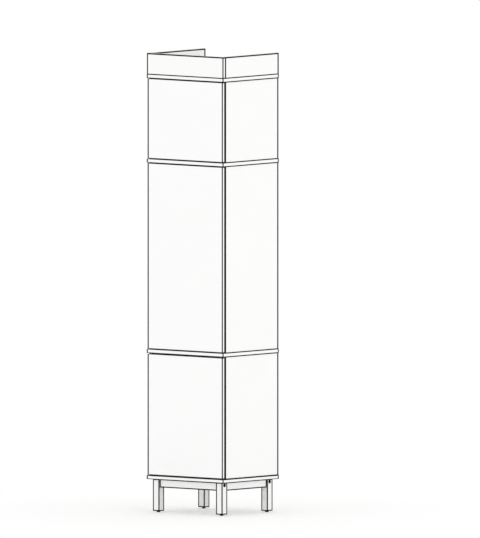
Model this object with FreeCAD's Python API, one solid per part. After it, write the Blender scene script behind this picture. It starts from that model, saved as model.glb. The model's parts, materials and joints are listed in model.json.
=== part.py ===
import FreeCAD, Part
import math
import os

os.makedirs("parts", exist_ok=True)

Vector = FreeCAD.Vector

# Tall kitchen cabinet in millimetres: X to the right, Y to the back, Z up.
# The origin is on the floor, under the middle of the boards.

# The cabinet as a whole
board_width = 460.0
board_depth = 400.0
board_thick = 18.0
lower_height = 565.0
middle_height = 862.0
upper_height = 373.0
leg_height = 147.0
foot_rise = 6.0

# Side panels, which stand a little inside the boards' side edges
panel_thick = 18.0
panel_inset = 2.5

# Doors, which lie between the boards and in front of the side panels
door_thick = 18.0
door_back_gap = 2.0
door_side_inset = 4.5
door_gap = 2.0
lower_door_top_gap = 4.0
door_edge_ease = 0.8
door_hinge_round = 1.5

# Back panels in grooves
back_thick = 8.0
back_set_in = 12.0
groove_depth = 8.0
groove_play = 0.2

# Collar on the top board: a front and two sides, open at the back
collar_height = 98.0
collar_thick = 18.0
collar_inset = 0.5
collar_ease = 1.0

# Legs and the rails between them
leg_width = 38.0
leg_side_inset = 21.0
leg_front_inset = 18.0
leg_back_inset = 19.0
leg_ease = 1.2
rail_height = 38.0
rail_thick = 20.0
front_rail_set_back = 7.0
back_rail_set_in = 5.5
side_rail_set_in = 5.0

# Bolts through the legs into barrel nuts in the front and back rails
bolt_radius = 3.0
bolt_drop = 12.0
bolt_head_radius = 8.5
bolt_head_height = 3.0
bolt_head_radius_shares = [1, 1, 0.88, 0.56]
bolt_head_height_shares = [0, 0.25, 0.75, 1]
bolt_socket_radius = 2.2
bolt_socket_depth = 1.8
bolt_socket_corners = 6
bolt_play = 0.25
nut_radius = 5.0
nut_length = 15.0
nut_from_end = 24.0
bolt_past_nut = 9.0

# Levelling feet
foot_radius = 8.5
foot_bevel = 0.7
foot_edge = 2.2
foot_dome_radius_shares = [1, 0.9, 0.76]
foot_dome_height_shares = [0, 0.5, 0.82]
foot_neck_radius = 5.0
spindle_radius = 3.0
spindle_length = 30.0
sleeve_radius = 5.0
spindle_clearance = 0.05

# Dowels, cam bolts and cam locks
dowel_radius = 4.0
board_bore_depth = 11.0
panel_dowel_depth = 20.0
leg_dowel_depth = 10.0
leg_top_dowel_inset = 8.0
joint_from_edge = 48.0
joint_step = 32.0
panel_dowel_shares = {"lower": 0.46, "upper": 0.54}
collar_front_shares = [-0.3, 0.3]
collar_side_shares = [0.16, 0.88]
cam_radius = 7.5
cam_depth = 12.5
cam_from_end = 34.0
cam_pocket_width = 8.0
cam_bolt_radius = 2.8
cam_bolt_head_radius = 3.5
cam_bolt_head_length = 4.0
cam_bore_radius = 4.0
snug = 0.05

# Adjustable shelves on pins
shelf_thick = 18.0
shelf_set_back = 22.0
shelf_side_play = 1.0
shelf_back_play = 3.0
pin_radius = 2.5
pin_depth = 10.0
pin_reach = 9.0
pin_bore_depth = 12.0
pin_row_from_edge = 60.0
pin_pitch = 32.0
pin_steps = [-1, 0, 1]
shelf_height_shares = {"lower": [0.49], "middle": [0.32, 0.66], "upper": []}

# Pivot hinges between the doors and the boards
pivot_from_edge = 6.5
pivot_radius = 2.5
pivot_reach = 10.0
pivot_clearance = 0.05
bush_radius = 4.2
bush_length = 12.0
plate_length = 44.0
plate_width = 13.0
plate_thick = 2.0
shoulder_radius = 4.5

# Push latches at the doors' free edges
latch_drop = 75.0
latch_length = 62.0
latch_radius = 6.0
latch_axis_off = 11.0
latch_base_thick = 2.5
latch_base_length = 30.0
latch_base_height = 46.0
latch_base_ease = 4.0
latch_saddle_width = 7.0
latch_wall_behind = 3.0
plunger_radius = 3.0
plunger_length = 34.0
plunger_tip_radius = 4.5
plunger_tip_length = 5.0
plunger_tip_ease = 1.0
plunger_travel = 4.0
plunger_clearance = 0.05
strike_radius = 8.0
strike_thick = 1.0
strike_gap = 0.3

# Buffers on the side panels' front edges
buffer_radius = 4.0
buffer_height = 1.7
buffer_radius_shares = [1, 0.9, 0.45]
buffer_height_shares = [0, 0.55, 1]
buffer_from_end = 30.0

# Wall brackets behind the collar
bracket_width = 40.0
bracket_thick = 2.5
bracket_height = 60.0
bracket_foot = 40.0
bracket_bend = 1.5
bracket_ease = 6.0
bracket_spacing = 300.0
wall_hole_radius = 3.5
wall_hole_up = 40.0

# Small round pieces and their bores are many-sided, which keeps the model light.
# The door pivots and the wall holes stay truly round.
plain_sides = 6
fine_sides = 12

# One overrun lets a cutting tool pass clear through its face
overrun = 1.0

# Places that the pieces share
half_width = board_width / 2
front_y = -board_depth / 2
back_y = board_depth / 2
door_back_y = front_y + door_thick
panel_front_y = door_back_y + door_back_gap
panel_outer = half_width - panel_inset
panel_inner = panel_outer - panel_thick
panel_mid = panel_outer - panel_thick / 2
groove_y = back_y - back_set_in - back_thick
sides = {"left": -1, "right": 1}

compartments = ["lower", "middle", "upper"]
clear_heights = {"lower": lower_height, "middle": middle_height, "upper": upper_height}
board_names = ["board_bottom", "board_low", "board_high", "board_top"]

board_floors = [foot_rise + leg_height]
for name in compartments:
    board_floors.append(board_floors[-1] + board_thick + clear_heights[name])

floors = {}
ceilings = {}
for number, name in enumerate(compartments):
    floors[name] = board_floors[number] + board_thick
    ceilings[name] = board_floors[number + 1]

under_board = board_floors[0]
top_of_boards = board_floors[-1] + board_thick

door_left_x = -half_width + door_side_inset
door_right_x = half_width - door_side_inset
door_ends = {}
for name in compartments:
    top_gap = lower_door_top_gap if name == "lower" else door_gap
    door_ends[name] = (floors[name] + door_gap, ceilings[name] - top_gap)

pivot_x = door_left_x + pivot_from_edge
pivot_y = front_y + door_thick / 2

latch_x = panel_inner - latch_axis_off
latch_heights = {name: ceilings[name] - latch_drop for name in compartments}
tip_front_y = door_back_y + strike_thick + strike_gap
latch_front_y = tip_front_y + plunger_tip_length + plunger_travel + strike_gap

leg_outer_x = half_width - leg_side_inset
leg_mid_x = leg_outer_x - leg_width / 2
leg_inner_x = leg_outer_x - leg_width
leg_faces = {"front": front_y + leg_front_inset, "back": back_y - leg_back_inset - leg_width}
leg_top_dowel_y = {
    "front": leg_faces["front"] + leg_top_dowel_inset,
    "back": leg_faces["back"] + leg_width - leg_top_dowel_inset,
}
rail_faces = {
    "front": leg_faces["front"] + front_rail_set_back,
    "back": leg_faces["back"] + back_rail_set_in,
}
rail_mid_y = {row: face + rail_thick / 2 for row, face in rail_faces.items()}
side_rail_mid_x = leg_outer_x - side_rail_set_in - rail_thick / 2
side_rail_dowel_z = under_board - rail_height / 2
bolt_z = under_board - bolt_drop

pin_columns = [panel_front_y + pin_row_from_edge, groove_y - pin_row_from_edge]


def block(corner, opposite):
    """A box between two opposite corners, given in either order."""
    low = [min(pair) for pair in zip(corner, opposite)]
    high = [max(pair) for pair in zip(corner, opposite)]
    return Part.makeBox(high[0] - low[0], high[1] - low[1], high[2] - low[2], Vector(*low))


def round_rod(radius, start, along, length):
    """A true cylinder that runs from a point along a direction."""
    return Part.makeCylinder(radius, length, Vector(*start), Vector(*along))


def polygon(radius, height, corners):
    """A regular polygon about the Z axis, at a height."""
    points = []
    for step in range(corners):
        angle = math.radians(360 * step / corners)
        points.append(Vector(radius * math.cos(angle), radius * math.sin(angle), height))
    return Part.makePolygon(points + points[:1])


def placed(solid, start, along):
    """Turns a solid's Z axis to a direction and moves its origin to a point."""
    solid.Placement = FreeCAD.Placement(Vector(*start), FreeCAD.Rotation(Vector(0, 0, 1), Vector(*along)))
    return solid


def rod(radius, start, along, length, corners=plain_sides):
    """A many-sided rod that runs from a point along a direction."""
    solid = Part.Face(polygon(radius, 0, corners)).extrude(Vector(0, 0, length))
    return placed(solid, start, along)


def turned(outline, start, along, corners=fine_sides):
    """A many-sided turned piece from its (radius, height) outline, lowest point first."""
    rings = [polygon(radius, height, corners) for radius, height in outline]
    faces = [Part.Face(rings[0]), Part.Face(rings[-1])]
    for low, high in zip(rings, rings[1:]):
        for low_edge, high_edge in zip(low.Edges, high.Edges):
            low_ends = [vertex.Point for vertex in low_edge.Vertexes]
            high_ends = [vertex.Point for vertex in high_edge.Vertexes]
            faces.append(Part.Face(Part.makePolygon(low_ends + high_ends[::-1] + low_ends[:1])))
    shell = Part.makeShell(faces)
    shell.sewShape()
    solid = Part.makeSolid(shell)
    if solid.Volume < 0:
        solid.reverse()
    return placed(solid, start, along)


def shaped(radius, height, radius_shares, height_shares, base=0):
    """An outline from shares of one radius and of one height."""
    return [(radius * wide, base + height * up) for wide, up in zip(radius_shares, height_shares)]


def eased(solid, size, picks):
    """Chamfers the straight edges of a block that a test picks by their middles."""
    chosen = [edge for edge in solid.Edges if picks(edge)]
    return solid.makeChamfer(size, chosen)


def upright(edge):
    """Whether an edge runs along Z."""
    return edge.BoundBox.ZLength > max(edge.BoundBox.XLength, edge.BoundBox.YLength)


def save(node, shapes):
    """Writes one node, of one solid or of several, as a STEP file."""
    shape = shapes[0] if len(shapes) == 1 else Part.makeCompound(shapes)
    shape.exportStep("parts/" + node + ".step")


# Joints between the side panels and the boards

def panel_ends(name):
    """A compartment's two panel ends: which end, its height and the way into the panel."""
    return [("lower", floors[name], 1), ("upper", ceilings[name], -1)]


def cam_places(end):
    """Depths of the two cams at a panel end; the ends are staggered so that bolts never meet."""
    shift = joint_step if end == "upper" else 0
    return [panel_front_y + joint_from_edge + shift, back_y - joint_from_edge - shift]


def panel_dowel_y(end):
    """Depth of the dowel at a panel end."""
    return panel_front_y + panel_dowel_shares[end] * (back_y - panel_front_y)


def collar_dowel_places():
    """Where the collar's dowels cross the top board's upper face."""
    places = []
    side_mid = half_width - collar_inset - collar_thick / 2
    for share in collar_front_shares:
        places.append((share * board_width, front_y + collar_thick / 2, top_of_boards))
    for hand in sides.values():
        for share in collar_side_shares:
            places.append((hand * side_mid, front_y + share * board_depth, top_of_boards))
    return places


def dowel_bore(start, along, depth):
    """A bore that takes a dowel."""
    return rod(dowel_radius + snug, start, along, depth)


def dowel(start, along, before, after):
    """A wooden dowel through a joint face, a little shorter than its two bores."""
    low = [place - step * (before - overrun / 2) for place, step in zip(start, along)]
    return rod(dowel_radius, low, along, before + after - overrun)


def make_dowels():
    """Every wooden dowel of the cabinet."""
    dowels = []
    for name in compartments:
        for end, z, into in panel_ends(name):
            for hand in sides.values():
                start = (hand * panel_mid, panel_dowel_y(end), z)
                dowels.append(dowel(start, (0, 0, into), board_bore_depth, panel_dowel_depth))
    for hand in sides.values():
        for y in leg_top_dowel_y.values():
            start = (hand * leg_mid_x, y, under_board)
            dowels.append(dowel(start, (0, 0, 1), panel_dowel_depth, board_bore_depth))
        for y, into in ((leg_faces["front"] + leg_width, -1), (leg_faces["back"], 1)):
            start = (hand * side_rail_mid_x, y, side_rail_dowel_z)
            dowels.append(dowel(start, (0, into, 0), panel_dowel_depth, leg_dowel_depth))
    for start in collar_dowel_places():
        dowels.append(dowel(start, (0, 0, 1), board_bore_depth, panel_dowel_depth))
    return dowels


def make_cam_bolts():
    """Bolts that stand in the boards, each with a head that its cam grips."""
    bolts = []
    head_start = cam_from_end - cam_bolt_head_length / 2
    outline = [
        (cam_bolt_radius, -board_bore_depth),
        (cam_bolt_radius, head_start),
        (cam_bolt_head_radius, head_start + cam_bolt_head_length),
    ]
    for name in compartments:
        for end, z, into in panel_ends(name):
            for hand in sides.values():
                for y in cam_places(end):
                    start = (hand * panel_mid, y, z)
                    bolts.append(turned(outline, start, (0, 0, into), plain_sides))
    return bolts


def make_cam_locks():
    """Round cams in the panels, open towards the bolts whose heads they grip."""
    cams = []
    half = cam_pocket_width / 2
    for name in compartments:
        for end, end_z, into in panel_ends(name):
            for hand in sides.values():
                for y in cam_places(end):
                    inner = hand * panel_inner
                    z = end_z + into * cam_from_end
                    cam = rod(cam_radius, (inner, y, z), (hand, 0, 0), cam_depth)
                    pocket = block(
                        (hand * panel_mid - half, y - half, z + into * half),
                        (hand * panel_mid + half, y + half, z - into * (cam_radius + overrun)),
                    )
                    cams.append(cam.cut(pocket))
    return cams


# Boards, side panels, back panels and shelves

def pivot_plate_plan(z):
    """The strip with many-sided round ends that a pivot plate fills, from a height up."""
    radius = plate_width / 2
    far_x = pivot_x + plate_length - 2 * radius
    strip = block((pivot_x, pivot_y - radius, z), (far_x, pivot_y + radius, z + plate_thick))
    ends = []
    for x in (pivot_x, far_x):
        ends.append(rod(radius, (x, pivot_y, z), (0, 0, 1), plate_thick))
    return strip.fuse(ends).removeSplitter()


def make_board(number):
    """A full board with its grooves, bores and pivot recesses."""
    z = board_floors[number]
    top = z + board_thick
    board = block((-half_width, front_y, z), (half_width, back_y, top))
    faces = []
    if number < len(compartments):
        faces.append(("lower", top, -1))
    if number > 0:
        faces.append(("upper", z, 1))
    cuts = []
    for end, face_z, into in faces:
        for hand in sides.values():
            x = hand * panel_mid
            for y in cam_places(end):
                cuts.append(rod(cam_bolt_radius + snug, (x, y, face_z), (0, 0, into), board_bore_depth))
            cuts.append(dowel_bore((x, panel_dowel_y(end), face_z), (0, 0, into), board_bore_depth))
        reach = panel_inner + groove_depth
        low_y = groove_y - groove_play / 2
        high_y = low_y + back_thick + groove_play
        cuts.append(block((-reach, low_y, face_z), (reach, high_y, face_z + into * groove_depth)))
        cuts.append(pivot_plate_plan(face_z if into > 0 else face_z - plate_thick))
    if number == 0:
        for hand in sides.values():
            for y in leg_top_dowel_y.values():
                cuts.append(dowel_bore((hand * leg_mid_x, y, z), (0, 0, 1), board_bore_depth))
    if number == len(compartments):
        for place in collar_dowel_places():
            cuts.append(dowel_bore(place, (0, 0, -1), board_bore_depth))
    return board.cut(cuts)


def shelf_underside(name, share):
    """Height of a shelf's lower face."""
    return floors[name] + share * clear_heights[name]


def make_side(name, hand):
    """A compartment's side panel with its groove, cam pockets and pin holes."""
    low = floors[name]
    high = ceilings[name]
    inner = hand * panel_inner
    mid = hand * panel_mid
    panel = block((hand * panel_outer, panel_front_y, low), (inner, back_y, high))
    cuts = []
    for end, z, into in panel_ends(name):
        for y in cam_places(end):
            cuts.append(rod(cam_bore_radius, (mid, y, z), (0, 0, into), cam_from_end))
            centre = (inner, y, z + into * cam_from_end)
            cuts.append(rod(cam_radius + snug, centre, (hand, 0, 0), cam_depth + snug))
        cuts.append(dowel_bore((mid, panel_dowel_y(end), z), (0, 0, into), panel_dowel_depth))
    low_y = groove_y - groove_play / 2
    high_y = low_y + back_thick + groove_play
    cuts.append(block((inner, low_y, low), (inner + hand * groove_depth, high_y, high)))
    for share in shelf_height_shares[name]:
        for step in pin_steps:
            z = shelf_underside(name, share) - pin_radius + step * pin_pitch
            for y in pin_columns:
                cuts.append(rod(pin_radius + snug, (inner, y, z), (hand, 0, 0), pin_bore_depth))
    return panel.cut(cuts)


def make_back(name):
    """A back panel that stands in the grooves of its sides and boards."""
    seat = groove_depth - groove_play / 2
    low = (-panel_inner - seat, groove_y, floors[name] - seat)
    high = (panel_inner + seat, groove_y + back_thick, ceilings[name] + seat)
    return block(low, high)


def make_shelf(name, share):
    """A loose shelf that lies on four pins."""
    z = shelf_underside(name, share)
    reach = panel_inner - shelf_side_play
    low = (-reach, panel_front_y + shelf_set_back, z)
    high = (reach, groove_y - shelf_back_play, z + shelf_thick)
    return block(low, high)


def make_shelf_pin(hand, y, top):
    """A plain pin in a side panel, which carries one corner of a shelf."""
    pin_start = (hand * (panel_inner + pin_depth), y, top - pin_radius)
    return rod(pin_radius, pin_start, (-hand, 0, 0), pin_depth + pin_reach)


# Doors and their pivots

def make_door(name):
    """A plain door with eased upright edges and bores for its two bushes."""
    low, high = door_ends[name]
    door = block((door_left_x, front_y, low), (door_right_x, door_back_y, high))

    def swings_in(edge):
        centre = edge.BoundBox.Center
        return upright(edge) and centre.x < 0 and centre.y > pivot_y

    door = door.makeFillet(door_hinge_round, [edge for edge in door.Edges if swings_in(edge)])

    def still_sharp(edge):
        centre = edge.BoundBox.Center
        on_side = min(abs(centre.x - door_left_x), abs(centre.x - door_right_x)) < snug
        on_face = min(abs(centre.y - front_y), abs(centre.y - door_back_y)) < snug
        return upright(edge) and on_side and on_face

    door = eased(door, door_edge_ease, still_sharp)
    cuts = []
    for z, into in ((low, 1), (high, -1)):
        cuts.append(rod(bush_radius + snug, (pivot_x, pivot_y, z), (0, 0, into), bush_length, fine_sides))
    return door.cut(cuts)


def make_bushes(name):
    """The door's two bushes, which turn on the pivot pins."""
    low, high = door_ends[name]
    bushes = []
    for z, into in ((low, 1), (high, -1)):
        start = (pivot_x, pivot_y, z)
        bush = rod(bush_radius, start, (0, 0, into), bush_length, fine_sides)
        bore = round_rod(pivot_radius + pivot_clearance, start, (0, 0, into), bush_length)
        bushes.append(bush.cut(bore))
    return bushes


def make_pivot_plates(name):
    """Steel plates let into the boards above and below a door."""
    return [pivot_plate_plan(floors[name] - plate_thick), pivot_plate_plan(ceilings[name])]


def make_pivot_pins(name):
    """Round pins on the plates; the lower one has a shoulder that carries the door."""
    low, high = door_ends[name]
    floor = floors[name]
    ceiling = ceilings[name]
    shoulder = rod(shoulder_radius, (pivot_x, pivot_y, floor), (0, 0, 1), low - floor, fine_sides)
    lower_pin = round_rod(pivot_radius, (pivot_x, pivot_y, low), (0, 0, 1), pivot_reach)
    upper_length = ceiling - high + pivot_reach
    upper_pin = round_rod(pivot_radius, (pivot_x, pivot_y, ceiling), (0, 0, -1), upper_length)
    return [shoulder.fuse(lower_pin), upper_pin]


# Push latches, their strike discs and the buffers

def make_latch(name):
    """A push latch: a round housing on a screwed base, bored for its plunger."""
    z = latch_heights[name]
    start = (latch_x, latch_front_y, z)
    housing = rod(latch_radius, start, (0, 1, 0), latch_length, fine_sides)
    base_mid = latch_front_y + latch_length / 2
    low_y = base_mid - latch_base_length / 2
    high_y = base_mid + latch_base_length / 2
    half_height = latch_base_height / 2
    base_face = panel_inner - latch_base_thick
    base = block((base_face, low_y, z - half_height), (panel_inner, high_y, z + half_height))

    def across(edge):
        return edge.BoundBox.XLength > max(edge.BoundBox.YLength, edge.BoundBox.ZLength)

    base = eased(base, latch_base_ease, across)
    half_saddle = latch_saddle_width / 2
    saddle = block((latch_x, low_y, z - half_saddle), (panel_inner, high_y, z + half_saddle))
    bore_depth = latch_length - latch_wall_behind
    bore = rod(plunger_radius + plunger_clearance, start, (0, 1, 0), bore_depth, fine_sides)
    return housing.fuse([base, saddle]).cut(bore)


def make_plunger(name):
    """The latch's plunger with its magnet tip."""
    outline = [
        (plunger_tip_radius - plunger_tip_ease, 0),
        (plunger_tip_radius, plunger_tip_ease),
        (plunger_tip_radius, plunger_tip_length),
        (plunger_radius, plunger_tip_length),
        (plunger_radius, plunger_tip_length + plunger_length),
    ]
    return turned(outline, (latch_x, tip_front_y, latch_heights[name]), (0, 1, 0))


def make_strike(name):
    """A thin steel disc on the door's back that the magnet holds."""
    start = (latch_x, door_back_y, latch_heights[name])
    return rod(strike_radius, start, (0, 1, 0), strike_thick, fine_sides)


def make_buffers():
    """Soft dots on the right side panels' front edges, where the doors close."""
    outline = shaped(buffer_radius, buffer_height, buffer_radius_shares, buffer_height_shares)
    dots = []
    for name in compartments:
        for z in (floors[name] + buffer_from_end, ceilings[name] - buffer_from_end):
            dots.append(turned(outline, (panel_mid, panel_front_y, z), (0, -1, 0), plain_sides))
    return dots


# Collar and wall brackets

def make_collar_front():
    """The collar's front, which covers the ends of its sides."""
    reach = half_width - collar_inset
    top = top_of_boards + collar_height
    front = block((-reach, front_y, top_of_boards), (reach, front_y + collar_thick, top))

    def front_corner(edge):
        return upright(edge) and edge.BoundBox.Center.y < front_y + collar_thick / 2

    front = eased(front, collar_ease, front_corner)
    places = collar_dowel_places()[: len(collar_front_shares)]
    return front.cut([dowel_bore(place, (0, 0, 1), panel_dowel_depth) for place in places])


def make_collar_side(hand):
    """One of the collar's sides."""
    outer = hand * (half_width - collar_inset)
    top = top_of_boards + collar_height
    side = block(
        (outer, front_y + collar_thick, top_of_boards),
        (outer - hand * collar_thick, back_y, top),
    )
    places = [place for place in collar_dowel_places()[len(collar_front_shares):] if place[0] * hand > 0]
    return side.cut([dowel_bore(place, (0, 0, 1), panel_dowel_depth) for place in places])


def make_bracket(hand):
    """A bent steel angle: one leaf on the top board, the other flat against the wall."""
    mid = hand * bracket_spacing / 2
    z = top_of_boards
    toe_y = back_y - bracket_foot
    tip_z = z + bracket_height
    inside_y = back_y - bracket_thick
    inside_z = z + bracket_thick
    outline = [
        (toe_y, z),
        (back_y - bracket_bend, z),
        (back_y, z + bracket_bend),
        (back_y, tip_z),
        (inside_y, tip_z),
        (inside_y, inside_z),
        (toe_y, inside_z),
        (toe_y, z),
    ]
    corners = [Vector(mid - bracket_width / 2, y, height) for y, height in outline]
    angle = Part.Face(Part.makePolygon(corners)).extrude(Vector(bracket_width, 0, 0))

    def leaf_corner(edge):
        centre = edge.BoundBox.Center
        across = edge.BoundBox.XLength < snug
        return across and (centre.z > tip_z - snug or centre.y < toe_y + snug)

    angle = eased(angle, bracket_ease, leaf_corner)
    hole_start = (mid, inside_y - overrun, z + wall_hole_up)
    return angle.cut(round_rod(wall_hole_radius, hole_start, (0, 1, 0), bracket_thick + 2 * overrun))


# Legs, rails, their fittings and the feet

def make_leg(row, hand):
    """A square leg with eased upright edges and its bores."""
    face_y = leg_faces[row]
    outer = hand * leg_outer_x
    leg = block((outer, face_y, foot_rise), (hand * leg_inner_x, face_y + leg_width, under_board))
    leg = eased(leg, leg_ease, upright)
    rail_side = face_y + leg_width if row == "front" else face_y
    into = -1 if row == "front" else 1
    foot_centre = (hand * leg_mid_x, face_y + leg_width / 2, foot_rise)
    top_dowel = (hand * leg_mid_x, leg_top_dowel_y[row], under_board)
    rail_dowel = (hand * side_rail_mid_x, rail_side, side_rail_dowel_z)
    cuts = [
        rod(bolt_radius + bolt_play, (outer, rail_mid_y[row], bolt_z), (-hand, 0, 0), leg_width),
        rod(sleeve_radius + snug, foot_centre, (0, 0, 1), spindle_length, fine_sides),
        dowel_bore(top_dowel, (0, 0, -1), panel_dowel_depth),
        dowel_bore(rail_dowel, (0, into, 0), leg_dowel_depth),
    ]
    return leg.cut(cuts)


def nut_seat(row):
    """A cross rail's inner face and the way from it into the wood."""
    if row == "front":
        return rail_faces[row] + rail_thick, -1
    return rail_faces[row], 1


def make_cross_rail(row):
    """The front or back rail, bored for the legs' bolts and their barrel nuts."""
    low = (-leg_inner_x, rail_faces[row], under_board - rail_height)
    rail = block(low, (leg_inner_x, rail_faces[row] + rail_thick, under_board))
    seat_y, into = nut_seat(row)
    cuts = []
    for hand in sides.values():
        end = (hand * leg_inner_x, rail_mid_y[row], bolt_z)
        cuts.append(rod(bolt_radius + bolt_play, end, (-hand, 0, 0), nut_from_end + bolt_past_nut))
        nut_start = (hand * (leg_inner_x - nut_from_end), seat_y, bolt_z)
        cuts.append(rod(nut_radius + snug, nut_start, (0, into, 0), nut_length + snug))
    return rail.cut(cuts)


def make_side_rail(hand):
    """A side rail, dowelled to its two legs."""
    front_end = leg_faces["front"] + leg_width
    back_end = leg_faces["back"]
    mid = hand * side_rail_mid_x
    half = rail_thick / 2
    rail = block((mid - half, front_end, under_board - rail_height), (mid + half, back_end, under_board))
    cuts = []
    for y, into in ((front_end, 1), (back_end, -1)):
        cuts.append(dowel_bore((mid, y, side_rail_dowel_z), (0, into, 0), panel_dowel_depth))
    return rail.cut(cuts)


def make_leg_bolt(row, hand):
    """A bolt with a domed head on the leg's outer face and a hexagon socket."""
    start = (hand * leg_outer_x, rail_mid_y[row], bolt_z)
    outline = shaped(bolt_head_radius, bolt_head_height, bolt_head_radius_shares, bolt_head_height_shares)
    head = turned(outline, start, (hand, 0, 0))
    shank = rod(bolt_radius, start, (-hand, 0, 0), leg_width + nut_from_end + bolt_past_nut - overrun)
    socket_start = (start[0] + hand * bolt_head_height, start[1], start[2])
    socket = rod(bolt_socket_radius, socket_start, (-hand, 0, 0), bolt_socket_depth, bolt_socket_corners)
    return head.fuse(shank).cut(socket)


def make_barrel_nut(row, hand):
    """A barrel nut that lies across its bolt in the rail."""
    seat_y, into = nut_seat(row)
    x = hand * (leg_inner_x - nut_from_end)
    nut = rod(nut_radius, (x, seat_y, bolt_z), (0, into, 0), nut_length)
    thread_start = (x - nut_radius - overrun, rail_mid_y[row], bolt_z)
    thread = rod(bolt_radius + snug, thread_start, (1, 0, 0), 2 * (nut_radius + overrun))
    return nut.cut(thread)


def make_foot_sleeve(row, hand):
    """A sleeve in the leg's end grain that the foot's spindle runs in."""
    start = (hand * leg_mid_x, leg_faces[row] + leg_width / 2, foot_rise)
    sleeve = rod(sleeve_radius, start, (0, 0, 1), spindle_length, fine_sides)
    return sleeve.cut(rod(spindle_radius + spindle_clearance, start, (0, 0, 1), spindle_length, fine_sides))


def make_foot(row, hand):
    """A levelling foot: a domed glide on a spindle."""
    dome = shaped(
        foot_radius,
        foot_rise - foot_edge,
        foot_dome_radius_shares,
        foot_dome_height_shares,
        foot_edge,
    )
    outline = [(foot_radius - foot_bevel, 0), (foot_radius, foot_bevel)]
    outline += dome
    outline += [
        (foot_neck_radius, foot_rise),
        (spindle_radius, foot_rise),
        (spindle_radius, foot_rise + spindle_length - overrun),
    ]
    return turned(outline, (hand * leg_mid_x, leg_faces[row] + leg_width / 2, 0), (0, 0, 1))


for number, board_name in enumerate(board_names):
    save(board_name, [make_board(number)])

shelf_pins = []
plates = []
pins = []
for name in compartments:
    for side_name, hand in sides.items():
        save("side_" + name + "_" + side_name, [make_side(name, hand)])
    save("back_" + name, [make_back(name)])
    for count, share in enumerate(shelf_height_shares[name]):
        save("shelf_" + name + "_" + str(count + 1), [make_shelf(name, share)])
        for hand in sides.values():
            for y in pin_columns:
                shelf_pins.append(make_shelf_pin(hand, y, shelf_underside(name, share)))
    save("door_" + name, [make_door(name)])
    save("door_bushes_" + name, make_bushes(name))
    save("strike_plate_" + name, [make_strike(name)])
    save("latch_plunger_" + name, [make_plunger(name)])
    plates.extend(make_pivot_plates(name))
    pins.extend(make_pivot_pins(name))

save("shelf_pins", shelf_pins)
save("pivot_plates", plates)
save("pivot_pins", pins)
save("latch_housings", [make_latch(name) for name in compartments])
save("door_buffers", make_buffers())
save("dowels", make_dowels())
save("cam_bolts", make_cam_bolts())
save("cam_locks", make_cam_locks())

bolts = []
nuts = []
sleeves = []
for row in leg_faces:
    save("rail_" + row, [make_cross_rail(row)])
    for side_name, hand in sides.items():
        save("leg_" + row + "_" + side_name, [make_leg(row, hand)])
        save("foot_" + row + "_" + side_name, [make_foot(row, hand)])
        bolts.append(make_leg_bolt(row, hand))
        nuts.append(make_barrel_nut(row, hand))
        sleeves.append(make_foot_sleeve(row, hand))

save("leg_bolts", bolts)
save("barrel_nuts", nuts)
save("foot_sleeves", sleeves)

for side_name, hand in sides.items():
    save("rail_" + side_name, [make_side_rail(hand)])
    save("collar_" + side_name, [make_collar_side(hand)])
save("collar_front", [make_collar_front()])
save("wall_brackets", [make_bracket(hand) for hand in sides.values()])
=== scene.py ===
import bmesh
import bpy
import json
import math
from mathutils import Matrix, Vector


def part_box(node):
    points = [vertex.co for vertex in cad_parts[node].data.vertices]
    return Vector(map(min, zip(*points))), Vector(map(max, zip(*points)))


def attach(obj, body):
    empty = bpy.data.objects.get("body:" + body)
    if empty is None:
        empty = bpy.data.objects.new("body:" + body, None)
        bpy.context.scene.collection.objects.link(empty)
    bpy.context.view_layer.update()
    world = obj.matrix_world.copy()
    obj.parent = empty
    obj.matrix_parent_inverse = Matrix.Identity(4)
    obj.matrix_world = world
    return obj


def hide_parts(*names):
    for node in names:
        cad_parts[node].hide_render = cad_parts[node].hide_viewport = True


# Tall white kitchen cabinet on four legs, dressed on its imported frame. Sizes are in metres, and the
# outlines of turned pieces in millimetres.
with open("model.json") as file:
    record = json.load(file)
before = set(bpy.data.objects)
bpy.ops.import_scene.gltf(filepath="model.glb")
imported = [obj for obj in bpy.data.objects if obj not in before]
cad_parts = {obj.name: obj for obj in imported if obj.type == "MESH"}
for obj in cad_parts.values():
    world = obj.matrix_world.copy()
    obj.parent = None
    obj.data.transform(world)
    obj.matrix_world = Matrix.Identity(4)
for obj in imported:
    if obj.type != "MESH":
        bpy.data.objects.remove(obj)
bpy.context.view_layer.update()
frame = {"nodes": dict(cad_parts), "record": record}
slotOf = {row["node"]: row["material_slot"] for row in frame["record"]["subparts"]}
compartments = ["lower", "middle", "upper"]
boards = ["board_bottom", "board_low", "board_high", "board_top"]
hands = {"left": -1, "right": 1}
mm = 0.001


# Colours and nodes

def linearColour(hexText):
    # an sRGB hex value such as "#F4F4F2" as the linear colour that sockets take
    shares = [int(hexText[start:start + 2], 16) / 255 for start in (1, 3, 5)]
    return [s / 12.92 if s <= 0.04045 else ((s + 0.055) / 1.055) ** 2.4 for s in shares] + [1]


def addNode(tree, kind, inputs=None, output=0, **settings):
    # adds one node, sets its settings, and fills its inputs with numbers or links
    node = tree.nodes.new(kind)
    for key, value in settings.items():
        setattr(node, key, value)
    for key, value in (inputs or {}).items():
        if isinstance(value, bpy.types.NodeSocket):
            tree.links.new(value, node.inputs[key])
        else:
            node.inputs[key].default_value = value
    return node.outputs[output] if len(node.outputs) else node


def startMaterial(name):
    material = bpy.data.materials.new(name)
    material.use_nodes = True
    material.node_tree.nodes.clear()
    return material, material.node_tree


def finishMaterial(tree, **inputs):
    # the surface shader and the output; spaces in socket names are written as _
    named = {key.replace("_", " "): value for key, value in inputs.items()}
    shader = addNode(tree, "ShaderNodeBsdfPrincipled", named)
    addNode(tree, "ShaderNodeOutputMaterial", {"Surface": shader})


# Camera

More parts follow.
